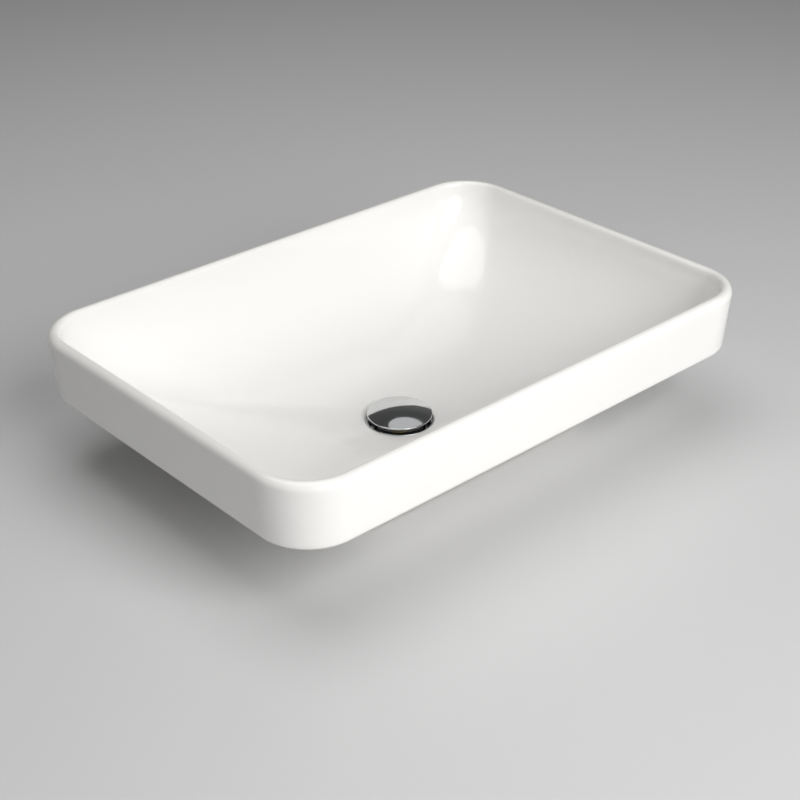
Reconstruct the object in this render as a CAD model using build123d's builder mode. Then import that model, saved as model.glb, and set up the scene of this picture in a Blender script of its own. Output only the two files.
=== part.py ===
from build123d import *
import os
from math import atan2, cos, radians, sin, sqrt

# Countertop basin with a click waste, in millimetres.
# X runs along the long side, Y from the front to the back, Z up.
# The origin is the middle of the foot, on the counter.

# Basin outline
basin_length = 600.0
basin_width = 420.0
basin_height = 150.0
outer_corner = 58.0         # plan radius of the rim's corners
wall_draft = 4.0            # each wall leans in by this much from rim to lower edge
apron_height = 68.0         # rim down to the body's lower edge
lower_edge_radius = 6.0

# Rim
rim_width = 12.0
rim_outer_radius = 7.0
rim_inner_radius = 4.8

# Bowl
bowl_depth = 133.0          # rim down to the middle of the bowl
wall_depth = 84.0           # the part of that depth that the walls take
wall_power = 5.0            # how tightly the walls turn into the floor
inner_corner = 46.0         # plan radius of the bowl's corners at the rim
corner_growth = 0.8         # how fast the corners open out towards the waste
corner_limit = 0.97         # largest share of a section's half width that a corner takes
ceramic_thickness = 9.5     # under the bowl

# Foot
foot_length = 350.0
foot_width = 229.0
foot_corner = 44.0
foot_wall = 12.0
foot_chamfer = 1.5

# Waste hole in the ceramic
waste_hole_radius = 23.25
boss_radius = 40.0
boss_proud = 2.6            # below the pan's underside

# Waste flange and tail
flange_radius = 35.5
flange_thickness = 1.8
flange_edge_radius = 0.7
flange_gap = 0.5            # round the flange's edge
flange_proud = 0.3          # flange's top above the floor at its edge
floor_rise = 1.0            # of the floor at the flange's edge, above the bowl's middle
neck_radius = 22.5
neck_gap = 0.2              # neck's end to the gasket's spigot
tail_radius = 20.95         # thread crest of a G 1 1/4 tail
throat_radius = 18.0
tail_length = 79.0          # flange underside to the tail's end
tail_chamfer = 1.0
thread_height = 0.75        # crest to pitch line, where a nut grips the tail
thread_overrun = 1.0        # of that stretch below the nut
mouth_radius = 26.0
mouth_dip = 0.8             # the seal's face, below the flange's top
mouth_slope = 4.0           # width of the slope down to it
mouth_round = 2.0
throat_blend = 7.0
throat_flare = 1.0

# Web and hub in the tail
rib_count = 3
rib_thickness = 2.6
rib_height = 8.0
rib_bite = 0.5              # reach of the ribs into the tail's wall
hub_radius = 7.2
hub_height = 10.0
hub_drop = 37.5             # flange underside to the hub's top face

# Clamp under the bowl
seal_thickness = 1.2
seal_inner_radius = 25.0
seal_outer_radius = 34.0
gasket_thickness = 6.5
gasket_top_radius = 31.0
gasket_bottom_radius = 28.5
gasket_edge = 2.2           # upright part of its edge
gasket_spigot = 0.9
spigot_clearance = 0.25
washer_thickness = 1.5
washer_radius = 30.0
backnut_height = 9.0
backnut_across_flats = 52.0
nut_relief = 0.6            # turned off each face, as a share of the hexagon's corner
thread_clearance = 0.05     # radial, on every thread drawn plain

# Cap
cap_radius = 34.0
cap_rise = 4.0              # height of the dome
cap_edge = 1.6              # thickness of the edge
cap_edge_radius = 0.7
cap_travel = 4.4            # full press
closed_gap = 0.5            # flange's top to the cap's edge when pressed down
cap_bed_radius = 27.0       # flat bed under the dome
cap_bed_height = 1.8        # bed above the edge's lower face
cap_skin = 2.0              # over the stem's blind hole
cap_boss_radius = 5.0
cap_seal_inner = 16.0
cap_seal_outer = 26.0
cap_seal_sheet = 1.6
cap_seal_lip = 2.5          # width of the lip's face
cap_seal_slope = 1.0        # width of the slopes beside it
cap_seal_gap = 0.3          # lip to the flange when pressed down
carrier_radius = 20.5
carrier_plate = 1.4
carrier_clearance = 0.1
cap_nut_height = 3.0
cap_nut_across_flats = 13.0

# Click cartridge
stem_radius = 3.0
stem_end_gap = 0.2
barrel_radius = 7.0
barrel_bore = 5.5
barrel_lip = 2.6
nut_gap = 1.1               # cap's nut to the barrel when pressed down
running_clearance = 0.05
collar_core = 4.2
collar_height = 3.9
stop_gap = 0.05             # collar to lip at rest
guide_clearance = 0.2       # radial, splines and lugs in the barrel
spline_count = 4
spline_angle = 25.0
groove_angle = 45.0
lug_height = 2.6
lug_overlap = 1.2           # how far the rotor's lugs stand between the ribs at rest
rotor_height = 4.0
tooth_count = 8
tooth_depth = 0.7
tooth_width = 2.6
tooth_gap = 0.1
spigot_radius = 2.5
spigot_length = 8.5
plug_inside = 5.0
plug_flange = 2.0
stud_radius = 4.0
stud_end = 1.0
plug_nut_height = 3.5
plug_nut_across_flats = 13.0
spring_wire = 0.9
spring_radius = 3.9
spring_turns = 7
ring_section = 1.0

# Lean of the walls from the rim's widest line up to the top face
crest_lean = wall_draft * rim_outer_radius / apron_height

# Levels, measured up from the counter
apron_level = basin_height - apron_height
floor_level = basin_height - bowl_depth + floor_rise
flange_top = floor_level + flange_proud
flange_level = flange_top - flange_thickness
seat_level = flange_level - seal_thickness
boss_level = basin_height - bowl_depth - ceramic_thickness - boss_proud
neck_level = boss_level + gasket_spigot + neck_gap
tail_level = flange_level - tail_length
gasket_level = boss_level - gasket_thickness
washer_level = gasket_level - washer_thickness
backnut_level = washer_level - backnut_height
grip_level = backnut_level - thread_overrun
grip_radius = tail_radius - thread_height
hub_level = flange_level - hub_drop
cap_edge_level = flange_top + closed_gap + cap_travel
cap_bed_level = cap_edge_level + cap_bed_height
cap_lip_level = flange_top - mouth_dip + cap_seal_gap + cap_travel
cap_boss_level = cap_bed_level - cap_seal_sheet - carrier_plate
cap_nut_level = cap_boss_level - cap_nut_height
dome_level = cap_edge_level + cap_edge
cap_top = dome_level + cap_rise
stem_top = cap_top - cap_skin - stem_end_gap
barrel_top = cap_nut_level - cap_travel - nut_gap
lip_level = barrel_top - barrel_lip
collar_top = lip_level - stop_gap
collar_level = collar_top - collar_height
rotor_top = collar_level - tooth_gap
rotor_level = rotor_top - rotor_height
lug_top = rotor_top - tooth_depth
guide_level = lug_top - lug_overlap
barrel_level = hub_level + plug_flange
plug_top = barrel_level + plug_inside
plug_nut_level = hub_level - hub_height - plug_nut_height


def bowl_section(turn):
    """Half sizes, corner radius, depth and floor slope where the bowl's wall has turned
    by this many degrees from upright: the walls follow a rounded power curve, and the
    floor adds a shallow parabola that falls to the waste."""
    angle = radians(turn)
    floor_fall = bowl_depth - wall_depth
    full_length = basin_length / 2 - rim_width
    full_width = basin_width / 2 - rim_width
    share = cos(angle) ** (2 / wall_power)
    depth = wall_depth * sin(angle) + floor_fall * (1 - share**2)
    corner_share = inner_corner / full_width + corner_growth * (1 - share)
    corner = full_width * share * min(corner_share, corner_limit)
    share_rate = share * 2 / wall_power * sin(angle) / cos(angle)
    depth_rate = wall_depth * cos(angle) + 2 * floor_fall * share * share_rate
    slope = atan2(depth_rate, share_rate * (full_length + full_width) / 2)
    return full_length * share, full_width * share, corner, depth, slope


def lathe(points, rounds=(), mode=Mode.ADD):
    """Turn a closed outline of (radius, level) points about the vertical axis.
    rounds lists corners to soften, each as (radius, level, fillet)."""
    with BuildSketch(Plane.XZ) as outline:
        with BuildLine():
            Polyline(*points, close=True)
        make_face()
        for radius, level, soft in rounds:
            fillet(outline.vertices().sort_by_distance((radius, level, 0))[0], soft)
    revolve(outline.sketch, axis=Axis.Z, mode=mode)


def sectors(inner, outer, width, offset):
    """Ring sectors, one for each spline, centred on the offset angle and its repeats."""
    for number in range(spline_count):
        start = offset + number * 360 / spline_count - width / 2
        with BuildLine() as outline:
            low = CenterArc((0, 0), inner, start, width)
            high = CenterArc((0, 0), outer, start, width)
            Line(low @ 0, high @ 0)
            Line(low @ 1, high @ 1)
        make_face(outline.edges())


def crown(level, rise):
    """Cut radial notches into a face at this level, leaving a crown of teeth."""
    for number in range(tooth_count):
        angle = radians((number + 0.5) * 360 / tooth_count)
        outward = (cos(angle), sin(angle), 0)
        across = (-sin(angle), cos(angle), 0)
        with BuildSketch(Plane(origin=(0, 0, level), x_dir=across, z_dir=outward)) as notch:
            with BuildLine():
                Polyline((-tooth_width / 2, 0), (tooth_width / 2, 0), (0, rise), close=True)
            make_face()
        extrude(notch.sketch, amount=barrel_bore, mode=Mode.SUBTRACT)


def hexagon(level, height, across_flats, bore):
    """A hexagon nut with its corners turned off at both faces and a plain bore."""
    corner = across_flats / sqrt(3)
    relief = (corner - across_flats / 2) * nut_relief
    with BuildSketch(Plane.XY.offset(level)) as outline:
        RegularPolygon(across_flats / 2, 6, major_radius=False)
    extrude(outline.sketch, amount=height)
    turned = [
        (0, level),
        (across_flats / 2, level),
        (corner, level + relief),
        (corner, level + height - relief),
        (across_flats / 2, level + height),
        (0, level + height),
    ]
    lathe(turned, mode=Mode.INTERSECT)
    with BuildSketch(Plane.XY.offset(level)) as hole:
        Circle(bore)
    extrude(hole.sketch, amount=height, mode=Mode.SUBTRACT)


# Ceramic basin: apron, pan under the bowl, waste boss and foot ring, with the bowl taken out
pan_turns = (34, 44, 54, 63, 71, 78, 84, 88, 89.6)
bowl_turns = (0, 7, 15, 24, 34, 44, 54, 63, 71, 78, 84, 88, 89.6, 89.99)

with BuildPart() as basin_body:
    with BuildSketch(Plane.XY.offset(basin_height)):
        RectangleRounded(basin_length + 2 * crest_lean, basin_width + 2 * crest_lean, outer_corner)
    with BuildSketch(Plane.XY.offset(apron_level)):
        RectangleRounded(basin_length - 2 * wall_draft, basin_width - 2 * wall_draft, outer_corner - wall_draft)
    loft(ruled=True)
    fillet(basin_body.faces().sort_by(Axis.Z)[0].edges(), lower_edge_radius)
    fillet(basin_body.faces().sort_by(Axis.Z)[-1].edges(), rim_outer_radius)
    for turn in pan_turns:
        half_length, half_width, corner, depth, slope = bowl_section(turn)
        out = ceramic_thickness * sin(slope)
        down = ceramic_thickness * cos(slope)
        with BuildSketch(Plane.XY.offset(basin_height - depth - down)):
            RectangleRounded(2 * (half_length + out), 2 * (half_width + out), corner + out)
    loft()
    with BuildSketch(Plane.XY.offset(boss_level)):
        Circle(boss_radius)
    extrude(amount=seat_level - boss_level)
    with BuildSketch():
        RectangleRounded(foot_length, foot_width, foot_corner)
        RectangleRounded(foot_length - 2 * foot_wall, foot_width - 2 * foot_wall, foot_corner - foot_wall,
                         mode=Mode.SUBTRACT)
    extrude(amount=apron_level)
    chamfer(basin_body.faces().sort_by(Axis.Z)[0].edges(), foot_chamfer)
    for turn in bowl_turns:
        half_length, half_width, corner, depth, slope = bowl_section(turn)
        with BuildSketch(Plane.XY.offset(basin_height - depth)):
            RectangleRounded(2 * half_length, 2 * half_width, corner)
    loft(mode=Mode.SUBTRACT)
    with BuildSketch(Plane.XY.offset(seat_level)):
        Circle(flange_radius + flange_gap)
    extrude(amount=bowl_depth, mode=Mode.SUBTRACT)
    with BuildSketch(Plane.XY.offset(boss_level)):
        Circle(waste_hole_radius)
    extrude(amount=bowl_depth, mode=Mode.SUBTRACT)
    rim_face = basin_body.faces().filter_by(GeomType.PLANE).sort_by(Axis.Z)[-1]
    fillet(rim_face.inner_wires()[0].edges(), rim_inner_radius)

# Waste body: flange, neck and threaded tail, with the web and hub that carry the cartridge
with BuildPart() as waste_body:
    lathe(
        [
            (flange_radius, flange_level),
            (flange_radius, flange_top),
            (mouth_radius + mouth_slope, flange_top),
            (mouth_radius, flange_top - mouth_dip),
            (neck_radius, flange_top - mouth_dip),
            (throat_radius + throat_flare, flange_level - throat_blend / 2),
            (throat_radius, flange_level - throat_blend),
            (throat_radius, tail_level),
            (tail_radius - tail_chamfer, tail_level),
            (tail_radius, tail_level + tail_chamfer),
            (tail_radius, grip_level),
            (grip_radius, grip_level),
            (grip_radius, washer_level),
            (tail_radius, washer_level),
            (tail_radius, neck_level),
            (neck_radius, neck_level),
            (neck_radius, flange_level),
        ],
        rounds=[
            (flange_radius, flange_top, flange_edge_radius),
            (neck_radius, flange_top - mouth_dip, mouth_round),
            (throat_radius + throat_flare, flange_level - throat_blend / 2, mouth_round),
        ],
    )
    with BuildSketch(Plane.XY.offset(hub_level - rib_height)):
        with PolarLocations(throat_radius / 2 + rib_bite, rib_count):
            Rectangle(throat_radius, rib_thickness)
    extrude(amount=rib_height)
    with BuildSketch(Plane.XY.offset(hub_level - hub_height)):
        Circle(hub_radius)
    extrude(amount=hub_height)
    with BuildSketch(Plane.XY.offset(hub_level - hub_height)):
        Circle(stud_radius + thread_clearance)
    extrude(amount=hub_height, mode=Mode.SUBTRACT)

# Rubber ring under the flange
with BuildPart() as flange_seal:
    with BuildSketch(Plane.XY.offset(seat_level)):
        Circle(seal_outer_radius)
        Circle(seal_inner_radius, mode=Mode.SUBTRACT)
    extrude(amount=seal_thickness)

# Thick tapered gasket under the bowl, with a spigot that centres the tail in the hole
with BuildPart() as tail_gasket:
    lathe([
        (tail_radius + thread_clearance, gasket_level),
        (gasket_bottom_radius, gasket_level),
        (gasket_top_radius, boss_level - gasket_edge),
        (gasket_top_radius, boss_level),
        (waste_hole_radius - spigot_clearance, boss_level),
        (waste_hole_radius - spigot_clearance, boss_level + gasket_spigot),
        (tail_radius + thread_clearance, boss_level + gasket_spigot),
    ])

# Slip washer between the gasket and the nut
with BuildPart() as slip_washer:
    with BuildSketch(Plane.XY.offset(washer_level)):
        Circle(washer_radius)
        Circle(tail_radius + thread_clearance, mode=Mode.SUBTRACT)
    extrude(amount=washer_thickness)

# Backnut that clamps the waste to the bowl
with BuildPart() as backnut:
    hexagon(backnut_level, backnut_height, backnut_across_flats, grip_radius + thread_clearance)

# Domed cap with the boss that the stem screws into
with BuildPart() as waste_cap:
    with BuildSketch(Plane.XZ) as cap_outline:
        with BuildLine():
            Polyline(
                (0, stem_top + stem_end_gap),
                (stem_radius + thread_clearance, stem_top + stem_end_gap),
                (stem_radius + thread_clearance, cap_boss_level),
                (cap_boss_radius, cap_boss_level),
                (cap_boss_radius, cap_bed_level),
                (cap_bed_radius, cap_bed_level),
                (cap_radius - cap_edge, cap_edge_level),
                (cap_radius, cap_edge_level),
                (cap_radius, dome_level),
            )
            dome_radius = (cap_radius**2 + cap_rise**2) / (2 * cap_rise)
            middle = cap_radius / 2
            middle_level = cap_top - dome_radius + sqrt(dome_radius**2 - middle**2)
            ThreePointArc((cap_radius, dome_level), (middle, middle_level), (0, cap_top))
            Line((0, cap_top), (0, stem_top + stem_end_gap))
        make_face()
        for edge_level in (cap_edge_level, dome_level):
            fillet(cap_outline.vertices().sort_by_distance((cap_radius, edge_level, 0))[0], cap_edge_radius)
    revolve(axis=Axis.Z)

# Rubber seal under the cap
with BuildPart() as cap_seal:
    lathe([
        (cap_seal_inner, cap_bed_level),
        (cap_seal_outer, cap_bed_level),
        (cap_seal_outer, cap_bed_level - cap_seal_sheet / 2),
        (cap_seal_outer - cap_seal_slope, cap_lip_level),
        (cap_seal_outer - cap_seal_slope - cap_seal_lip, cap_lip_level),
        (cap_seal_outer - 2 * cap_seal_slope - cap_seal_lip, cap_bed_level - cap_seal_sheet),
        (cap_seal_inner, cap_bed_level - cap_seal_sheet),
    ])

# Plastic disc that holds the seal to the cap
with BuildPart() as seal_carrier:
    lathe([
        (cap_boss_radius + carrier_clearance, cap_boss_level),
        (carrier_radius, cap_boss_level),
        (carrier_radius, cap_boss_level + carrier_plate),
        (cap_seal_inner - carrier_clearance, cap_boss_level + carrier_plate),
        (cap_seal_inner - carrier_clearance, cap_bed_level),
        (cap_boss_radius + carrier_clearance, cap_bed_level),
    ])

# Nut that clamps the carrier and locks the cap on the stem
with BuildPart() as cap_locknut:
    hexagon(cap_nut_level, cap_nut_height, cap_nut_across_flats, stem_radius + thread_clearance)

# Plunger: stem, splined collar with its crown of teeth, and the spigot that carries the rotor
with BuildPart() as plunger:
    with BuildSketch(Plane.XY.offset(collar_level)):
        Circle(collar_core)
        sectors(stem_radius, barrel_bore - guide_clearance, spline_angle, 0)
    extrude(amount=collar_height)
    crown(collar_level, tooth_depth)
    with BuildSketch(Plane.XY.offset(collar_level)):
        Circle(stem_radius)
    extrude(amount=stem_top - collar_level)
    with BuildSketch(Plane.XY.offset(collar_level - spigot_length)):
        Circle(spigot_radius)
    extrude(amount=spigot_length + tooth_depth)

# Cartridge barrel: lip with the ring's groove, and guide ribs down to where the rotor turns
with BuildPart() as barrel:
    groove_level = lip_level + barrel_lip / 2
    groove_half = ring_section / 2 + running_clearance
    groove_radius = stem_radius + ring_section + 2 * running_clearance
    lathe([
        (barrel_radius, barrel_level),
        (barrel_radius, barrel_top),
        (stem_radius + running_clearance, barrel_top),
        (stem_radius + running_clearance, groove_level + groove_half),
        (groove_radius, groove_level + groove_half),
        (groove_radius, groove_level - groove_half),
        (stem_radius + running_clearance, groove_level - groove_half),
        (stem_radius + running_clearance, lip_level),
        (barrel_bore, lip_level),
        (barrel_bore, barrel_level),
    ])
    with BuildSketch(Plane.XY.offset(guide_level)):
        rib_angle = 360 / spline_count - groove_angle
        sectors(collar_core + guide_clearance, barrel_bore + guide_clearance, rib_angle, 180 / spline_count)
    extrude(amount=lip_level - guide_level)

# Wiper ring round the stem, in the barrel's lip
with BuildPart() as wiper_ring:
    with BuildSketch(Plane.XZ):
        with Locations((stem_radius + running_clearance + ring_section / 2, groove_level)):
            Circle(ring_section / 2)
    revolve(axis=Axis.Z)

# Latch rotor: the plunger's crown pushes it down and steps it round past the ribs
with BuildPart() as latch_rotor:
    with BuildSketch(Plane.XY.offset(rotor_level)):
        Circle(collar_core)
    extrude(amount=rotor_height)
    with BuildSketch(Plane.XY.offset(lug_top - lug_height)):
        sectors(stem_radius, barrel_bore - guide_clearance, spline_angle, 0)
    extrude(amount=lug_height)
    crown(rotor_top, -tooth_depth)
    with BuildSketch(Plane.XY.offset(rotor_level)):
        Circle(spigot_radius + running_clearance)
    extrude(amount=rotor_height, mode=Mode.SUBTRACT)

# Base plug: closes the barrel, carries the spring and screws into the hub
with BuildPart() as base_plug:
    lathe([
        (0, plug_nut_level - stud_end),
        (stud_radius, plug_nut_level - stud_end),
        (stud_radius, hub_level),
        (barrel_radius, hub_level),
        (barrel_radius, barrel_level),
        (barrel_bore - thread_clearance, barrel_level),
        (barrel_bore - thread_clearance, plug_top),
        (0, plug_top),
    ])

# Nut that locks the base plug under the hub
with BuildPart() as plug_locknut:
    hexagon(plug_nut_level, plug_nut_height, plug_nut_across_flats, stud_radius + thread_clearance)

# Spring between the base plug and the rotor, ground flat at both ends
with BuildPart() as return_spring:
    spring_length = rotor_level - plug_top
    spring_pitch = spring_length / spring_turns
    with BuildLine():
        coil = Helix(spring_pitch, spring_length, spring_radius, center=(0, 0, plug_top))
    with BuildSketch(Plane(origin=coil @ 0, z_dir=coil % 0)):
        Circle(spring_wire / 2)
    sweep(path=coil)
    with BuildSketch(Plane.XY.offset(plug_top)):
        Circle(barrel_bore)
    extrude(amount=spring_length, mode=Mode.INTERSECT)

pieces = {
    "basin_body": basin_body,
    "waste_body": waste_body,
    "flange_seal": flange_seal,
    "tail_gasket": tail_gasket,
    "slip_washer": slip_washer,
    "backnut": backnut,
    "waste_cap": waste_cap,
    "cap_seal": cap_seal,
    "seal_carrier": seal_carrier,
    "cap_locknut": cap_locknut,
    "plunger": plunger,
    "barrel": barrel,
    "wiper_ring": wiper_ring,
    "latch_rotor": latch_rotor,
    "return_spring": return_spring,
    "base_plug": base_plug,
    "plug_locknut": plug_locknut,
}
os.makedirs("parts", exist_ok=True)
for name, piece in pieces.items():
    piece.part.label = name
    export_step(piece.part, f"parts/{name}.step")
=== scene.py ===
from math import acos, atan, atan2, cos, pi, radians, sin, sqrt, tan

import bpy
import numpy as np
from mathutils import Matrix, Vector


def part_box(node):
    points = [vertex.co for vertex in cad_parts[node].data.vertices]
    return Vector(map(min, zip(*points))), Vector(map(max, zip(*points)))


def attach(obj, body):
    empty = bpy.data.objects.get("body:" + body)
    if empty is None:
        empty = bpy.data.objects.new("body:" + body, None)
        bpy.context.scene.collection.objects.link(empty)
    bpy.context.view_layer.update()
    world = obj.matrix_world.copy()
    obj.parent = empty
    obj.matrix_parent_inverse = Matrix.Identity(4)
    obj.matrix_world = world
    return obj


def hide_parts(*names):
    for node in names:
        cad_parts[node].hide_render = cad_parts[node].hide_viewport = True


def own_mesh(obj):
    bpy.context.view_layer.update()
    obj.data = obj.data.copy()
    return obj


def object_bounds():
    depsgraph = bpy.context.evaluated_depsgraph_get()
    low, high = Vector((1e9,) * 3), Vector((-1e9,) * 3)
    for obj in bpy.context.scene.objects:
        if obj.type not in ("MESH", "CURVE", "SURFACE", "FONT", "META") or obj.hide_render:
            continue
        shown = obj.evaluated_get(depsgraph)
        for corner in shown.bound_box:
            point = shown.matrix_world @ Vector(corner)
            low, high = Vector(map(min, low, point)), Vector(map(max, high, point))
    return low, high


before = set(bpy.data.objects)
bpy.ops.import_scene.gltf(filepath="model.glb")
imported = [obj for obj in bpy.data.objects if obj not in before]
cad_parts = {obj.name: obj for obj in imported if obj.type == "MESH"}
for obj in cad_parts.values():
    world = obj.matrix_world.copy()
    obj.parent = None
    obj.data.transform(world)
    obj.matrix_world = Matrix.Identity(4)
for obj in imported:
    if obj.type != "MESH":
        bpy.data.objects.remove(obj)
cad_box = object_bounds()

# Camera
# It stands where the photograph's camera stood, worked out from the basin's outline, in
# front of the left corner and looking down over the long side.
camera_place = (-0.9274, -1.0194, 0.8266)
camera_yaw = radians(42.31)      # from +Y towards +X
camera_pitch = radians(29.73)    # below the horizon
camera_lens = 69.48              # for a sensor 36 mm wide

camera_data = bpy.data.cameras.new("camera")
camera_data.lens = camera_lens
camera_data.sensor_width = 36.0
camera = bpy.data.objects.new("camera", camera_data)
camera.location = camera_place
camera.rotation_euler = (pi / 2 - camera_pitch, 0, -camera_yaw)
bpy.context.scene.collection.objects.link(camera)
bpy.context.scene.camera = camera
bpy.context.scene.view_settings.view_transform = "Standard"


# Floor and light
# A pale worktop with a round cut-out for the waste, a large soft lamp in front, a weaker one
# overhead, a faint card behind, and a room pale along the horizon and dark above, for the
# metal to show.
floor_reach = 4.0
floor_grey = 0.62
floor_roughness = 0.55
floor_thickness = 0.03
cutout_radius = 0.035
room_greys = ((0.0, 0.28), (0.50, 0.32), (0.62, 0.22), (0.78, 0.09), (1.0, 0.06))   # nadir to zenith
key_place = (-0.10, -2.10, 1.35)
key_size = 2.0
key_watts = 58.0
top_place = (-0.15, 0.25, 2.1)
top_size = 1.8
top_watts = 17.0
card_place = (1.05, 0.92, 1.85)          # behind on the right, for the cap to show
card_size = 0.85
card_watts = 1.1


def skin(name, *stacks, sharp=None):
    """Join stacks of rings, each an array (rings, points, 3), by quads from ring to ring. A
    stack whose first ring has shrunk to a point ends there and at its last ring, in two
    poles, and any other joins its last ring to its first. Edges that turn by more than
    sharp degrees are shaded as edges."""
    points, faces, start = [], [], 0
    for rings in stacks:
        poles = int(np.ptp(rings[0], axis=0).max() < 1e-9)
        inner = rings[1:-1] if poles else rings
        rows, around = inner.shape[:2]
        row = np.arange(rows - poles)[:, None]
        step = start + np.arange(around)
        beside = start + (np.arange(around) + 1) % around
        here, ahead = row * around, (row + 1) % rows * around
        quads = np.stack(np.broadcast_arrays(here + step, here + beside, ahead + beside, ahead + step), -1)
        faces += quads.reshape(-1, 4).tolist()
        points.append(inner.reshape(-1, 3))
        if poles:
            last, low = (rows - 1) * around, np.full(around, start + rows * around)
            faces += np.stack([beside, step, low], -1).tolist()
            faces += np.stack([last + step, last + beside, low + 1], -1).tolist()
            points.append(rings[[0, -1], 0])
        start += rows * around + 2 * poles
    mesh = bpy.data.meshes.new(name)
    mesh.from_pydata(np.concatenate(points).tolist(), [], faces)
    mesh.shade_smooth()
    if sharp:
        mesh.set_sharp_from_angle(angle=radians(sharp))
    piece = bpy.data.objects.new(name, mesh)
    bpy.context.scene.collection.objects.link(piece)
    return piece


def turned(radii, levels, around):
    """Rings of a shape turned about the waste's axis: each radius and level, or row of them,
    becomes a ring of points radius times cosine and sine of the turn, at that level."""
    turn = np.arange(around) * 2 * pi / around
    radii, levels = (np.atleast_2d(np.asarray(values).T).T for values in (radii, levels))
    return np.stack(np.broadcast_arrays(radii * np.cos(turn), radii * np.sin(turn), levels), -1)


def material(name, colour, roughness, metallic=0.0):
    """A new material on one shader, with its plain values set on the shader's own sockets."""
    look = bpy.data.materials.new(name)
    look.use_nodes = True
    nodes, links = look.node_tree.nodes, look.node_tree.links
    shader = nodes["Principled BSDF"]
    shader.inputs["Base Color"].default_value = (*colour, 1)
    shader.inputs["Roughness"].default_value = roughness
    shader.inputs["Metallic"].default_value = metallic
    return look, nodes, links, shader


def dress(look, *pieces):
    """Give pieces this material and no other."""
    for piece in pieces:
        if not piece.material_slots:
            piece.data.materials.append(look)
        for slot in piece.material_slots:
            slot.material = look


spread = np.geomspace(cutout_radius, floor_reach, 24)
floor_rings = turned(spread, 0 * spread, 64)
floor_under = floor_rings - np.array([0, 0, floor_thickness])
floor = skin("floor", np.concatenate([floor_under, floor_rings[::-1]]), sharp=30)
dress(material("pale worktop", (floor_grey,) * 3, floor_roughness)[0], floor)

world = bpy.data.worlds.new("studio")
world.use_nodes = True
nodes, links = world.node_tree.nodes, world.node_tree.links
place = nodes.new("ShaderNodeTexCoord")
split = nodes.new("ShaderNodeSeparateXYZ")
height = nodes.new("ShaderNodeMapRange")
height.inputs["From Min"].default_value = -1.0
room = nodes.new("ShaderNodeValToRGB")
for spot, (at, grey) in enumerate(room_greys):
    stop = room.color_ramp.elements[spot] if spot < 2 else room.color_ramp.elements.new(at)
    stop.position, stop.color = at, (grey, grey, grey, 1)
links.new(place.outputs["Generated"], split.inputs[0])
links.new(split.outputs["Z"], height.inputs["Value"])
links.new(height.outputs[0], room.inputs["Fac"])
links.new(room.outputs[0], nodes["Background"].inputs["Color"])
bpy.context.scene.world = world


def lamp(name, place, size, watts, aim=(0, 0, 0.08)):
    """A round area lamp at this place, turned to face the aim."""
    light = bpy.data.lights.new(name, "AREA")
    light.shape = "DISK"
    light.size = size
    light.energy = watts
    holder = bpy.data.objects.new(name, light)
    holder.location = place
    toward = np.array(aim) - np.array(place)
    flat = sqrt(toward[0] ** 2 + toward[1] ** 2)
    holder.rotation_euler = (atan2(flat, -toward[2]), 0, atan2(toward[1], toward[0]) - pi / 2)
    bpy.context.scene.collection.objects.link(holder)


lamp("key_lamp", key_place, key_size, key_watts)
lamp("top_lamp", top_place, top_size, top_watts)
lamp("card_lamp", card_place, card_size, card_watts)


# Basin
# One slip-cast piece of white sanitary ware, glazed all over but for the foot it was fired
# on: a round rim, leaning walls, a bowl that falls to the waste and a foot ring under it.
basin_high = cad_box[1][2]
half_length, half_width = 0.300, 0.210    # at the rim's widest line
outer_corner = 0.058
apron = 0.068                             # rim down to the lower edge
draft = 0.004                             # lean of each wall over the apron
lower_edge_round = 0.006
rim_width = 0.012
rim_outer_round = 0.007
rim_inner_round = 0.0048
bowl_depth = 0.133
wall_depth = 0.084
wall_power = 5.0
inner_corner = 0.046
corner_growth = 0.8
corner_limit = 0.97
pan_thickness = 0.0095
foot_length, foot_width = 0.175, 0.1145   # half sizes, outside
foot_corner = 0.044
foot_wall = 0.012
foot_edge_round = 0.0015
foot_fillet = 0.006
inside_fillet = 0.005
web_fillet = 0.003                        # where the pan meets the apron
hole_radius = 0.02325
boss_radius = 0.040
boss_edge_round = 0.001
boss_fillet = 0.0012
gasket_spigot = 0.0009                    # stands up inside the hole
boss_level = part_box("tail_gasket")[1][2] - gasket_spigot
seat_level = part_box("flange_seal")[0][2]
pocket_radius = 0.036
edge_round = 0.0006                       # of glaze on the pocket and the hole
wave_height = 0.00022                     # of the cast walls, always inwards
wave_begin, wave_fade = 0.12, 0.05        # waves start this far out and grow over this much
wave_rise = 0.02                          # and grow over this height above the foot
lip_gap = 0.0002                          # from the rim's inner edge to the bowl's first ring
spacing_share = 0.15                      # where measuring the rings' spacing starts


def reach(length, width, corner, direction):
    """Distance from the middle to a rounded rectangle along each direction: the nearer of
    its two sides, or in a corner the circle about that corner's centre."""
    along, across = np.abs(np.cos(direction)), np.abs(np.sin(direction))
    side = np.minimum(length / np.maximum(along, 1e-9), width / np.maximum(across, 1e-9))
    centre_x, centre_y = length - corner, width - corner
    middle = centre_x * along + centre_y * across
    round_end = middle + np.sqrt(np.maximum(corner**2 - centre_x**2 - centre_y**2 + middle**2, 0))
    return np.where((side * along > centre_x) & (side * across > centre_y), round_end, side)


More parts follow.
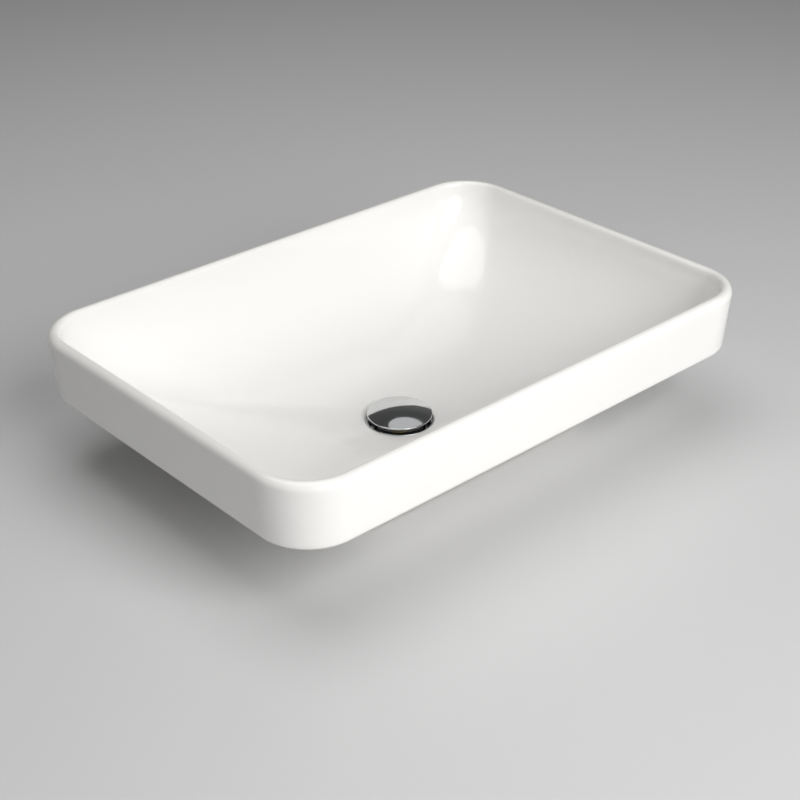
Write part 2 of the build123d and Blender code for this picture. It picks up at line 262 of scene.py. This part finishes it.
def bowl(share, direction, thickness=0.0):
    """Reach and level of the bowl where its plan has shrunk to this share of the rim's. The
    walls follow a power curve from upright to flat, depth = wall depth times the sine of the
    turn with cosine = share to the power of half the wall's, and the floor adds a parabola.
    A thickness moves the surface outwards and down along its slope, to the pan below."""
    full_length, full_width = half_length - rim_width, half_width - rim_width
    cosine = share ** (wall_power / 2)
    sine = np.sqrt(np.maximum(1 - cosine**2, 1e-12))
    fall = bowl_depth - wall_depth
    depth = wall_depth * sine + fall * (1 - share**2)
    rounding = np.minimum(inner_corner / full_width + corner_growth * (1 - share), corner_limit)
    corner = full_width * share * rounding
    rate = share * 2 / wall_power * sine
    steepness = wall_depth * cosine**2 + 2 * fall * share * rate
    slope = np.arctan2(steepness, rate * (full_length + full_width) / 2)
    out, down = thickness * np.sin(slope), thickness * np.cos(slope)
    length, width = full_length * share + out, full_width * share + out
    return reach(length, width, corner + out, direction), basin_high - depth - down


def share_at(distance, direction, thickness=0.0):
    """The share whose surface lies at this distance from the middle, by halving a range."""
    low, high = np.zeros_like(distance) + 1e-4, np.ones_like(distance)
    for _ in range(40):
        half = (low + high) / 2
        short = bowl(half, direction, thickness)[0] < distance
        low, high = np.where(short, half, low), np.where(short, high, half)
    return (low + high) / 2


def underside(distance, direction):
    """Level of the basin's underside: the lower of the pan and the apron's edge, run
    together by a soft minimum, minus log of the sum of both falling exponentials."""
    pan = bowl(share_at(distance, direction, pan_thickness), direction, pan_thickness)[1]
    low = np.minimum(pan, basin_high - apron)
    high = np.maximum(pan, basin_high - apron)
    return low - web_fillet * np.log1p(np.exp((low - high) / web_fillet))


# directions are close together round the corners: points even along a quarter of the rim's
# outline, mirrored to the other three
side_points, corner_points, end_points = 20, 44, 16
straight_x, straight_y = half_length - outer_corner, half_width - outer_corner
bend = (np.arange(corner_points) + 0.5) / corner_points * pi / 2
quarter_x = np.concatenate([
    np.full(end_points, half_length),
    straight_x + outer_corner * np.cos(bend),
    straight_x * (1 - (np.arange(side_points) + 0.5) / side_points),
])
quarter_y = np.concatenate([
    straight_y * (np.arange(end_points) + 0.5) / end_points,
    straight_y + outer_corner * np.sin(bend),
    np.full(side_points, half_width),
])
quarter = np.arctan2(quarter_y, quarter_x)
around = np.concatenate([quarter, pi - quarter[::-1], pi + quarter, 2 * pi - quarter[::-1]])

basin_rings = []    # (reach, level, bare, edge) for each ring


def ring(distance, level, bare=0.0, edge=0.0):
    """Add one ring of the basin's skin, with its share of bare clay and of thin glaze."""
    basin_rings.append(np.stack([value + 0 * around for value in (distance, level, bare, edge)]))


def offset(length, width, corner, out):
    """Reach of a rounded rectangle moved outwards by this much."""
    return reach(length + out, width + out, corner + out, around)


def fillet(length, width, corner, radius, sign):
    """The hollow corner between an upright wall on this outline and the pan: a circle that
    touches both. The pan is taken as a slope there, found again from where the circle ends."""
    touch = np.full_like(around, radius)
    step = 0.001
    for _ in range(6):
        here = underside(offset(length, width, corner, sign * touch), around)
        past = underside(offset(length, width, corner, sign * (touch + step)), around)
        grade = (past - here) / step
        touch = radius - radius * grade / np.sqrt(1 + grade**2)
    centre = here - radius / np.sqrt(1 + grade**2)
    return touch, centre, np.arctan2(1, grade)


# waste hole, from its lower edge down over the boss
for turn in np.linspace(0, pi / 2, 4):
    ring(hole_radius + edge_round * (1 - cos(turn)), boss_level + edge_round * (1 - sin(turn)))
for part in (0.35, 0.7):
    ring(hole_radius + part * (boss_radius - hole_radius), boss_level)
for turn in np.linspace(0, pi / 2, 5):
    ring(boss_radius - boss_edge_round * (1 - sin(turn)), boss_level + boss_edge_round * (1 - cos(turn)))
boss_top = underside(np.full_like(around, boss_radius + boss_fillet), around)
for turn in np.linspace(0, pi / 2, 5):
    ring(boss_radius + boss_fillet * (1 - cos(turn)), boss_top - boss_fillet * (1 - sin(turn)))

# pan inside the foot, from the boss out to the foot's inner wall
inner = (foot_length - foot_wall, foot_width - foot_wall, foot_corner - foot_wall)
touch, centre, sweep = fillet(*inner, inside_fillet, -1)
pan_end = offset(*inner, -touch)
for part in np.linspace(0, 1, 26)[1:]:
    distance = boss_radius + boss_fillet + part * (pan_end - boss_radius - boss_fillet)
    ring(distance, underside(distance, around))
for part in np.linspace(1, 0, 7)[1:]:
    turn = sweep * part
    ring(offset(*inner, -inside_fillet * (1 - np.cos(turn))), centre + inside_fillet * np.sin(turn))
for part in np.linspace(1, 0, 5)[1:-1]:
    ring(offset(*inner, 0), foot_edge_round + part * (centre - foot_edge_round), bare=float(part < 0.4))

# foot's lower edge, wiped clean of glaze
for turn in np.linspace(0, pi / 2, 4):
    ring(offset(*inner, foot_edge_round * (1 - cos(turn))), foot_edge_round * (1 - sin(turn)), bare=1.0)
outer = (foot_length, foot_width, foot_corner)
for turn in np.linspace(0, pi / 2, 5):
    ring(offset(*outer, -foot_edge_round * (1 - sin(turn))), foot_edge_round * (1 - cos(turn)), bare=1.0)
ring(offset(*outer, 0), 2 * foot_edge_round, bare=0.5)

# foot's outer wall, and the underside out to the lower edge
touch, centre, sweep = fillet(*outer, foot_fillet, 1)
for part in np.linspace(0, 1, 7)[1:]:
    ring(offset(*outer, 0), 2 * foot_edge_round + part * (centre - 2 * foot_edge_round))
for part in np.linspace(0, 1, 9)[1:]:
    turn = sweep * part
    ring(offset(*outer, foot_fillet * (1 - np.cos(turn))), centre + foot_fillet * np.sin(turn))
lean = draft / (apron - rim_outer_round)
tilt = atan(lean)


def wall_line(level):
    """Inset of the outer wall's leaning line from the rim's widest line, at this level."""
    return lean * (basin_high - rim_outer_round - level)


edge_centre = wall_line(basin_high - apron + lower_edge_round) + lower_edge_round / cos(tilt)
flat_end = (half_length - edge_centre, half_width - edge_centre, outer_corner - edge_centre)
for part in np.linspace(0, 1, 40)[1:]:
    sizes = [o + touch + part * (f - o - touch) for o, f in zip(outer, flat_end)]
    distance = reach(*sizes, around)
    soft = underside(distance, around)
    level = soft + part**6 * (basin_high - apron - soft)
    ring(distance, level)

# lower edge, leaning wall and rim
for turn in np.linspace(0, pi / 2 - tilt, 11)[1:]:
    ring(offset(*flat_end, lower_edge_round * sin(turn)),
         basin_high - apron + lower_edge_round * (1 - cos(turn)), edge=sin(2 * turn) * 0.5)
wall_foot = basin_high - apron + lower_edge_round * (1 - cos(pi / 2 - tilt))
wall_head = basin_high - rim_outer_round - rim_outer_round * sin(tilt)
for part in np.linspace(0, 1, 14)[1:]:
    level = wall_foot + part * (wall_head - wall_foot)
    inset = wall_line(level)
    ring(reach(half_length - inset, half_width - inset, outer_corner - inset, around), level)
rim_centre = wall_line(basin_high - rim_outer_round) + rim_outer_round / cos(tilt)
rim_outline = (half_length - rim_centre, half_width - rim_centre, outer_corner - rim_centre)
for turn in np.linspace(-tilt, pi / 2, 17)[1:]:
    ring(offset(*rim_outline, rim_outer_round * cos(turn)),
         basin_high - rim_outer_round + rim_outer_round * sin(turn), edge=sin(turn) ** 2 if turn > 0 else 0)
inner_lip = (half_length - rim_width, half_width - rim_width, inner_corner)
for turn in np.linspace(pi / 2, 0, 14)[:-1]:
    ring(offset(*inner_lip, rim_inner_round * (1 - cos(turn))),
         basin_high - rim_inner_round + rim_inner_round * sin(turn), edge=sin(turn) ** 2)

# bowl, from the rim's inner edge down and in to the waste's pocket, rings evenly spaced
pocket = share_at(np.full_like(around, pocket_radius + edge_round), around)
fine = np.linspace(0, 1, 4001) ** 0.25
trial_share = spacing_share + (1 - spacing_share) * fine
trial_reach, trial_level = bowl(trial_share, np.full_like(fine, pi / 5))
length_along = np.concatenate([[0], np.cumsum(np.hypot(np.diff(trial_reach), np.diff(trial_level)))])
lip_share = share_at(offset(*inner_lip, -lip_gap), around)
even = np.interp(np.linspace(1, 0, 92) * length_along[-1], length_along, fine)
for place in even:
    share = pocket + place * (lip_share - pocket)
    distance, level = bowl(share, around)
    ring(distance, np.minimum(level, basin_high - rim_inner_round))

# pocket for the flange, and the hole's wall
floor_edge = bowl(pocket, around)[1]
for turn in np.linspace(0, pi / 2, 4)[1:]:
    ring(pocket_radius + edge_round * (1 - sin(turn)), floor_edge - edge_round * (1 - cos(turn)))
ring(pocket_radius, seat_level + edge_round)
ring(pocket_radius - edge_round, seat_level)
ring(hole_radius + 3 * edge_round, seat_level)
for turn in np.linspace(0, pi / 2, 3):
    ring(hole_radius + edge_round * (1 - sin(turn)), seat_level - edge_round * (1 - cos(turn)))

rows = np.stack(basin_rings)
distance, level, bare, edge = rows[:, 0], rows[:, 1], rows[:, 2], rows[:, 3]
wave = np.sin(3 * around + 40 * level) + np.sin(7 * around - 55 * level + 1.3) + np.sin(5 * around + 2.1)
outside = np.clip((distance - wave_begin) / wave_fade, 0, 1) * np.clip(level / wave_rise, 0, 1)
distance = distance - wave_height * (3 + wave) / 6 * outside
basin_points = np.stack([distance * np.cos(around), distance * np.sin(around), level], -1)
basin = skin("basin_shell", basin_points, sharp=50)
for label, values in (("bare_clay", bare), ("thin_glaze", edge)):
    attribute = basin.data.attributes.new(label, "FLOAT", "POINT")
    attribute.data.foreach_set("value", values.astype(np.float32).ravel())

glaze_white = (0.86, 0.85, 0.83)
glaze_edge = (0.80, 0.775, 0.735)         # where it has drawn thin over an edge
glaze_pooled = (0.845, 0.838, 0.825)      # where it has run together
glaze_roughness = (0.07, 0.13)
glaze_ripple = 0.00035                    # slow unevenness of the glaze
glaze_peel = 0.000012                     # its finest dimples
clay = (0.70, 0.655, 0.585)
clay_speck = tuple(0.72 * c for c in clay)
clay_grain = 0.0004
clay_dullness = 0.75                      # added to the roughness
look, nodes, links, shader = material("white glaze", glaze_white, 0.10)


def noise(nodes, links, scale, detail=2.0):
    """A cloud of soft noise in the piece's own coordinates, this many cells to the metre."""
    place = nodes.new("ShaderNodeTexCoord")
    cloud = nodes.new("ShaderNodeTexNoise")
    cloud.inputs["Scale"].default_value = scale
    cloud.inputs["Detail"].default_value = detail
    links.new(place.outputs["Object"], cloud.inputs["Vector"])
    return cloud.outputs["Fac"]


def spread_over(nodes, links, source, low, high, begin=0.3, end=0.7):
    """Map a pattern's begin to end onto low to high."""
    range_node = nodes.new("ShaderNodeMapRange")
    for socket, value in (("From Min", begin), ("From Max", end), ("To Min", low), ("To Max", high)):
        range_node.inputs[socket].default_value = value
    links.new(source, range_node.inputs["Value"])
    return range_node.outputs[0]


def mixed(nodes, links, share, first, second):
    """A colour that goes from the first to the second, each a colour or a socket, by share."""
    blend = nodes.new("ShaderNodeMix")
    blend.data_type = "RGBA"
    links.new(share, blend.inputs[0])
    for socket, value in ((blend.inputs[6], first), (blend.inputs[7], second)):
        if isinstance(value, tuple):
            socket.default_value = (*value, 1)
        else:
            links.new(value, socket)
    return blend.outputs[2]


def combined(nodes, links, kind, first, second):
    """One sum, product or other operation on two values, each a number or a socket."""
    sum_node = nodes.new("ShaderNodeMath")
    sum_node.operation = kind
    for socket, value in zip(sum_node.inputs, (first, second)):
        if isinstance(value, (int, float)):
            socket.default_value = value
        else:
            links.new(value, socket)
    return sum_node.outputs[0]


def raised(nodes, links, shader, height, distance):
    """Bump the shader's surface by a height pattern, whose full range stands this far."""
    bump = nodes.new("ShaderNodeBump")
    bump.inputs["Distance"].default_value = distance
    bump.inputs["Strength"].default_value = 1.0
    links.new(height, bump.inputs["Height"])
    if shader.inputs["Normal"].links:
        links.new(shader.inputs["Normal"].links[0].from_socket, bump.inputs["Normal"])
    links.new(bump.outputs["Normal"], shader.inputs["Normal"])


def attribute_of(nodes, label):
    """A value stored on the piece's points."""
    stored = nodes.new("ShaderNodeAttribute")
    stored.attribute_name = label
    return stored.outputs["Fac"]


bare_share = attribute_of(nodes, "bare_clay")
pooled = spread_over(nodes, links, noise(nodes, links, 9.0, 3.0), 0.0, 0.35)
body_colour = mixed(nodes, links, pooled, glaze_white, glaze_pooled)
edge_share = combined(nodes, links, "MULTIPLY", attribute_of(nodes, "thin_glaze"), 0.5)
glazed = mixed(nodes, links, edge_share, body_colour, glaze_edge)
speck = spread_over(nodes, links, noise(nodes, links, 2600.0, 1.0), 0.0, 1.0, 0.30, 0.62)
grog = mixed(nodes, links, speck, clay_speck, clay)
links.new(mixed(nodes, links, bare_share, glazed, grog), shader.inputs["Base Color"])
gloss = spread_over(nodes, links, noise(nodes, links, 55.0, 3.0), *glaze_roughness)
dull = combined(nodes, links, "MULTIPLY", bare_share, clay_dullness)
links.new(combined(nodes, links, "ADD", gloss, dull), shader.inputs["Roughness"])
raised(nodes, links, shader, noise(nodes, links, 42.0, 1.0), glaze_ripple)
raised(nodes, links, shader, noise(nodes, links, 420.0, 1.0), glaze_peel)
grain = combined(nodes, links, "MULTIPLY", noise(nodes, links, 1900.0, 3.0), bare_share)
raised(nodes, links, shader, grain, clay_grain)
dress(look, basin)
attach(basin, "basin")
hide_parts("basin_body")


# Seals between the waste and the bowl
# A moulded rubber ring under the flange, a thick tapered gasket under the bowl and a nylon
# washer that lets the nut turn without dragging the gasket round.
rubber_colours = ((0.022, 0.022, 0.024), (0.045, 0.045, 0.046))
rubber_roughness = (0.5, 0.72)
rubber_grain = 0.00005
nylon_colours = ((0.74, 0.71, 0.63), (0.69, 0.655, 0.56))
nylon_roughness = (0.3, 0.46)
nylon_grain = 0.00003
nylon_glow, nylon_glow_depth = 0.15, 0.002    # light let in, and how deep


def mottled(name, colours, roughness, tone, gloss, grain, height, metallic=0.0):
    """A material and its shader. The colour drifts from the first to the second, the
    roughness drifts over its range, and a fine grain stands this high. Each of the three
    patterns is (cells to the metre, detail)."""
    look, nodes, links, shader = material(name, colours[0], roughness[0], metallic)
    drift = spread_over(nodes, links, noise(nodes, links, *tone), 0.0, 1.0)
    links.new(mixed(nodes, links, drift, *colours), shader.inputs["Base Color"])
    sheen = spread_over(nodes, links, noise(nodes, links, *gloss), *roughness)
    links.new(sheen, shader.inputs["Roughness"])
    raised(nodes, links, shader, noise(nodes, links, *grain), height)
    return look, shader


def glowing(shader, share, depth):
    """Let a share of the light into the piece, to this depth."""
    shader.inputs["Subsurface Weight"].default_value = share
    shader.inputs["Subsurface Scale"].default_value = depth


rubber = mottled("moulded rubber", rubber_colours, rubber_roughness,
                 tone=(140.0, 4.0), gloss=(600.0, 2.0), grain=(1500.0, 2.0), height=rubber_grain)[0]
dress(rubber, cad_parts["flange_seal"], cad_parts["tail_gasket"])
nylon, shader = mottled("nylon washer", nylon_colours, nylon_roughness,
                        tone=(70.0, 3.0), gloss=(350.0, 2.0), grain=(900.0, 1.0), height=nylon_grain)
glowing(shader, nylon_glow, nylon_glow_depth)
dress(nylon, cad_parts["slip_washer"])


# Waste body
# One brass casting, turned and chrome plated: a flange with a sloped mouth, a throat, a tail
# with an inch and a quarter pipe thread, and inside it three ribs that carry a threaded hub.
flange_radius = 0.0355
flange_top = 0.0183
flange_under = 0.0165
mouth_radius = 0.026
mouth_slope = 0.004
mouth_drop = 0.0008
mouth_level = flange_top - mouth_drop
neck_radius = 0.0225
neck_level = 0.006
throat_radius = 0.018
throat_top = 0.0095
throat_funnel = 0.001                     # wider half way up to the mouth
tail_radius = 0.02095
tail_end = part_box("waste_body")[0][2]
tail_chamfer = 0.001
tail_pitch = 0.002309
tail_thread_depth = 0.00148
thread_low, thread_high = tail_end + tail_chamfer, 0.0045
rib_count = 3
rib_thickness = 0.0026
rib_height = 0.008
rib_round = 0.0005
rib_in_hub, rib_in_wall = 0.0004, 0.0005  # how far a rib runs into each
hub_radius = 0.0072
hub_bore = 0.00405
hub_depth = 0.0375                        # below the flange
hub_top = flange_under - hub_depth
hub_height = 0.010
turns_around = 96                         # points round every turned piece


def soften(corners, steps=6):
    """Outline of a turned piece from its corners, each (radius, level, softness). A circle of
    that softness that touches both sides takes the corner's place. It begins and ends at the
    softness over the tangent of half the corner's angle, and one more point beyond each end
    keeps the sides flat."""
    corners = np.array(corners, float)
    outline = []
    for before, corner, after in zip(np.roll(corners, 1, 0), corners, np.roll(corners, -1, 0)):
        place, soft = corner[:2], corner[2]
        if soft == 0:
            outline.append(place)
            continue
        back, on = before[:2] - place, after[:2] - place
        back, on = back / np.hypot(*back), on / np.hypot(*on)
        half = acos(back @ on) / 2
        away = soft / tan(half)
        centre = place + (back + on) / np.hypot(*(back + on)) * soft / sin(half)
        sweep = pi - 2 * half
        part = np.linspace(0, 1, steps)[:, None]
        first, last = place + back * away - centre, place + on * away - centre
        arc = centre + (np.sin((1 - part) * sweep) * first + np.sin(part * sweep) * last) / sin(sweep)
        outline += [place + back * (away + soft / 6), *arc, place + on * (away + soft / 6)]
    return np.array(outline)


def thread(level, turn, pitch, depth, low, high):
    """How far a right-hand thread lies below its crest: a wave that climbs one pitch in each
    turn, half triangle and half cosine so that crest and root are round. It fades out over
    one pitch towards both ends."""
    phase = (level / pitch - turn / (2 * pi)) % 1
    wave = np.abs(2 * phase - 1) / 2 + (1 + np.cos(2 * pi * phase)) / 4
    return depth * wave * np.clip(np.minimum(level - low, high - level) / pitch, 0, 1)


turn = np.arange(turns_around) * 2 * pi / turns_around
outline = soften([
    (tail_radius, thread_high, 0),
    (tail_radius, neck_level, 0),
    (neck_radius, neck_level, 0.0002),
    (neck_radius, flange_under, 0.0004),
    (flange_radius, flange_under, 0.0003),
    (flange_radius, flange_top, 0.0007),
    (mouth_radius + mouth_slope, flange_top, 0.0012),
    (mouth_radius, mouth_level, 0.0012),
    (neck_radius, mouth_level, 0.002),
    (throat_radius + throat_funnel, (flange_under + throat_top) / 2, 0.002),
    (throat_radius, throat_top, 0.002),
    (throat_radius, tail_end, 0.0003),
    (tail_radius - tail_chamfer, tail_end, 0.0002),
    (tail_radius, thread_low, 0),
])
levels = np.linspace(thread_low, thread_high, 290)[1:-1]
ridge = tail_radius - thread(levels[:, None], turn, tail_pitch, tail_thread_depth, thread_low, thread_high)
shell = np.concatenate([
    turned(outline[:, 0], outline[:, 1], turns_around),
    turned(ridge, levels, turns_around),
])
hub = soften([
    (hub_bore, hub_top - hub_height, 0.0003),
    (hub_radius, hub_top - hub_height, 0.0006),
    (hub_radius, hub_top, 0.0006),
    (hub_bore, hub_top, 0.0003),
])
stacks = [shell, turned(hub[:, 0], hub[:, 1], 48)]
corner = np.linspace(0, pi / 2, 5)
quarter = rib_round * np.stack([np.cos(corner), np.sin(corner)], -1)
middle = np.array([rib_thickness, rib_height]) / 2 - rib_round
across = np.concatenate([
    quarter + middle,
    quarter[::-1] * [-1, 1] + middle * [-1, 1],
    -quarter - middle,
    quarter[::-1] * [1, -1] + middle * [1, -1],
])
for number in range(rib_count):
    heading = 2 * pi * number / rib_count
    outward = np.array([cos(heading), sin(heading), 0])
    sideways = np.array([-sin(heading), cos(heading), 0])
    section = across[:, :1] * sideways + (across[:, 1:] + hub_top - rib_height / 2) * np.array([0, 0, 1])
    spine = section.mean(0) + 0 * section
    near, far = (hub_radius - rib_in_hub) * outward, (throat_radius + rib_in_wall) * outward
    stacks.append(np.stack([spine + near, section + near, section + far, spine + far]))
waste = skin("waste_body_shell", *stacks, sharp=40)

chrome_colours = ((0.60, 0.61, 0.62), (0.57, 0.575, 0.58))
chrome_roughness = (0.035, 0.10)
chrome_marks = 0.0000006                  # height of the turning marks under the plate


def lathe_marks(nodes, links, scale, distortion):
    """Rings round the axis in the piece's own coordinates, as a lathe's tool leaves them."""
    place = nodes.new("ShaderNodeTexCoord")
    marks = nodes.new("ShaderNodeTexWave")
    marks.wave_type, marks.rings_direction = "RINGS", "Z"
    for socket, value in (("Scale", scale), ("Distortion", distortion), ("Detail", 2.0)):
        marks.inputs[socket].default_value = value
    links.new(place.outputs["Object"], marks.inputs["Vector"])
    return marks.outputs["Fac"]


def plated(name, marks_scale):
    """Bright chrome over turned brass: rings of the finest turning marks under the plate, and
    a roughness that drifts where it has been handled."""
    look, nodes, links, shader = material(name, chrome_colours[0], chrome_roughness[0], 1.0)
    handled = spread_over(nodes, links, noise(nodes, links, 60.0, 4.0), *chrome_roughness)
    links.new(handled, shader.inputs["Roughness"])
    tone = spread_over(nodes, links, noise(nodes, links, 25.0, 2.0), 0.0, 1.0)
    links.new(mixed(nodes, links, tone, *chrome_colours), shader.inputs["Base Color"])
    raised(nodes, links, shader, lathe_marks(nodes, links, marks_scale, 0.6), chrome_marks)
    return look


dress(plated("chrome plate", 700.0), waste)
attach(waste, "basin")
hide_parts("waste_body")


# Backnut
# A brass hexagon nut, cast and turned on both faces, that screws up the tail and clamps the
# waste to the bowl. Its thread is the tail's own, a hair wider.
nut_low, nut_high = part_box("backnut")[0][2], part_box("backnut")[1][2]
nut_across_flats = 0.052
nut_relief = 0.6                          # height turned off, as a share of the corner
nut_edge = 0.0002                         # least width and height turned off
nut_clearance = 0.00006
nut_mouth = 0.0003                        # how much wider the bore opens at each face
nut_mouth_height = 0.0004
nut_margins = (0.0008, 0.0006)            # rings this far in keep each face flat
brass_colours = ((0.80, 0.60, 0.30), (0.62, 0.42, 0.20))
brass_roughness = (0.22, 0.42)
brass_marks = 0.000012


def hexagon_nut(low, high):
    """Rings of the nut. A flat's radius is half the width over the cosine of the turn from the
    flat's middle. What is turned off each face rises with that radius, so that it is least
    at the middles and most at the corners. The bore is the tail's thread, a hair wider."""
    half = nut_across_flats / 2
    flats = half / np.cos(turn % (pi / 3) - pi / 6)
    rise = nut_edge + nut_relief * (flats - half)
    crest = tail_radius + nut_clearance
    mouth = crest + nut_mouth
    face = np.array([mouth, mouth + nut_margins[0], half - nut_margins[1], half - nut_edge])
    face = face[:, None] + 0 * turn
    levels = np.linspace(high - nut_mouth_height, low + nut_mouth_height, 44)[:, None] + 0 * turn
    bore = crest - thread(levels, turn, tail_pitch, tail_thread_depth, thread_low, thread_high)
    return turned(
        np.concatenate([face, [flats, flats], face[::-1], bore]),
        np.concatenate([low + 0 * face, [low + rise, high - rise], high + 0 * face, levels]),
        turns_around,
    )


backnut = skin("backnut_hexagon", hexagon_nut(nut_low, nut_high), sharp=24)


def turned_brass(name, marks_scale):
    """Bare turned brass: rings of tool marks round the axis, and a brown bloom where hands and
    damp have dulled it."""
    look, nodes, links, shader = material(name, brass_colours[0], brass_roughness[0], 1.0)
    bloom = spread_over(nodes, links, noise(nodes, links, 130.0, 5.0), 0.0, 1.0, 0.42, 0.72)
    links.new(mixed(nodes, links, bloom, *brass_colours), shader.inputs["Base Color"])
    handled = spread_over(nodes, links, noise(nodes, links, 240.0, 3.0), *brass_roughness)
    links.new(handled, shader.inputs["Roughness"])
    raised(nodes, links, shader, lathe_marks(nodes, links, marks_scale, 1.5), brass_marks)
    return look


dress(turned_brass("turned brass nut", 500.0), backnut)
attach(backnut, "basin")
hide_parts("backnut")


# Waste cap
# The chrome dome that hides the plug: spun brass with a rolled edge and a threaded boss
# under it. It rides on the plunger, so that a press sends it down and up.
cap_radius = 0.034
cap_rise = 0.004
cap_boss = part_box("waste_cap")[0][2]        # the boss hangs lowest
cap_boss_length = 0.0030
cap_lip = 0.0018                           # the edge hangs below the bed
cap_bed = cap_boss + cap_boss_length
cap_low = cap_bed - cap_lip
cap_crown = 0.002                          # metal left over the bore
cap_edge = 0.0016
cap_edge_round = 0.0007
cap_bed_radius = 0.027
cap_boss_radius = 0.005
cap_bore = 0.00305
dome_edge = cap_low + cap_edge
cap_top = dome_edge + cap_rise
bore_top = cap_top - cap_crown
dome_radius = (cap_radius**2 + cap_rise**2) / (2 * cap_rise)
dome_starts = (0.96 * cap_radius, 0.94 * cap_radius)    # its first two rings


def dome(distance):
    """Level of the dome this far from the axis: the top of a sphere."""
    return cap_top - dome_radius + np.sqrt(dome_radius**2 - distance**2)


under = soften([
    (0, bore_top, 0),
    (cap_bore, bore_top, 0.0003),
    (cap_bore, cap_boss, 0.0002),
    (cap_boss_radius, cap_boss, 0.0003),
    (cap_boss_radius, cap_bed, 0.0004),
    (cap_bed_radius, cap_bed, 0.001),
    (cap_radius - cap_edge, cap_low, 0.0006),
    (cap_radius, cap_low, cap_edge_round),
    (cap_radius, dome_edge, cap_edge_round),
    (dome_starts[0], dome(dome_starts[0]), 0),
])
dome_reach = np.linspace(dome_starts[1], 0, 26)
cap = skin("waste_cap_dome", np.concatenate([
    turned(under[:, 0], under[:, 1], turns_around),
    turned(dome_reach, dome(dome_reach), turns_around),
]), sharp=40)
dress(plated("chrome plate on the cap", 300.0), cap)
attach(cap, "cap")
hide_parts("waste_cap")


# Cap seal, carrier and nut
# A rubber lip that meets the flange when the cap is down, an acetal disc that holds it to the
# cap, and the small brass nut that clamps both and locks the stem.
acetal_colours = ((0.78, 0.77, 0.74), (0.73, 0.72, 0.68))
acetal_roughness = (0.26, 0.4)
acetal_grain = 0.00002
acetal_glow, acetal_glow_depth = 0.1, 0.0015
acetal, shader = mottled("acetal", acetal_colours, acetal_roughness,
                         tone=(90.0, 3.0), gloss=(500.0, 2.0), grain=(1400.0, 2.0), height=acetal_grain)
glowing(shader, acetal_glow, acetal_glow_depth)
small_brass = turned_brass("turned brass", 900.0)
dress(rubber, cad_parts["cap_seal"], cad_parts["wiper_ring"])
dress(acetal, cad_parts["seal_carrier"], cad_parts["barrel"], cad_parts["latch_rotor"])
dress(small_brass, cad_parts["cap_locknut"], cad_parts["plunger"])


# Return spring
# Stainless wire wound on a mandrel, its end coils closed and ground flat. It stands on the
# base plug and pushes the rotor and plunger up. The real one shortens as the cap goes down; this one keeps
# one length.
spring_low, spring_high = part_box("return_spring")[0][2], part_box("return_spring")[1][2]
spring_radius = 0.0039
wire = 0.00045                            # radius
coil_count = 8.0
closed_turns = 1.0                        # at each end
steel_colours = ((0.52, 0.52, 0.53), (0.40, 0.385, 0.37))
steel_roughness = (0.2, 0.38)
steel_grain = 0.000008


def wound(coils):
    """Rings of the wire along these coils. Its middle climbs one wire in each closed coil and
    evenly through the coils between, averaged over 31 rings where the two meet. The ends are
    ground flat: what would pass the spring's ends lies on them."""
    closed = 2 * wire
    active = coil_count - 2 * closed_turns
    lift = (spring_high - spring_low - 2 * wire - 2 * closed * closed_turns) / active
    rise = closed * np.minimum(coils, closed_turns)
    rise = rise + lift * np.clip(coils - closed_turns, 0, active)
    rise = rise + closed * np.clip(coils - closed_turns - active, 0, None)
    rise = np.convolve(np.pad(rise, 15, mode="reflect", reflect_type="odd"), np.ones(31) / 31, "valid")
    heading = 2 * pi * coils
    outward = np.stack([np.cos(heading), np.sin(heading), 0 * heading], -1)
    spine = spring_radius * outward
    spine[:, 2] = spring_low + wire + rise
    along = np.gradient(spine, axis=0)
    along = along / np.linalg.norm(along, axis=1)[:, None]
    upward = np.cross(along, -outward)
    girth = np.arange(12)[:, None] * 2 * pi / 12
    tube = spine[:, None] + wire * (np.sin(girth) * upward[:, None] - np.cos(girth) * outward[:, None])
    tube[..., 2] = np.clip(tube[..., 2], spring_low, spring_high)
    first, last = (tube[[end]].mean(1, keepdims=True) + 0 * tube[[end]] for end in (0, -1))
    return np.concatenate([first, tube, last])


spring = skin("spring_coil", wound(np.linspace(0, 1, 520) * coil_count), sharp=50)
steel = mottled("stainless spring wire", steel_colours, steel_roughness, tone=(300.0, 3.0),
                gloss=(1500.0, 2.0), grain=(4000.0, 1.0), height=steel_grain, metallic=1.0)[0]
dress(steel, spring)
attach(spring, "basin")
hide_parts("return_spring")
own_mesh(spring)


# Base plug and its nut
# A turned brass plug that closes the barrel and stands in the hub, with a nut below the ribs
# to lock it.
dress(small_brass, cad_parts["base_plug"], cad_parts["plug_locknut"])
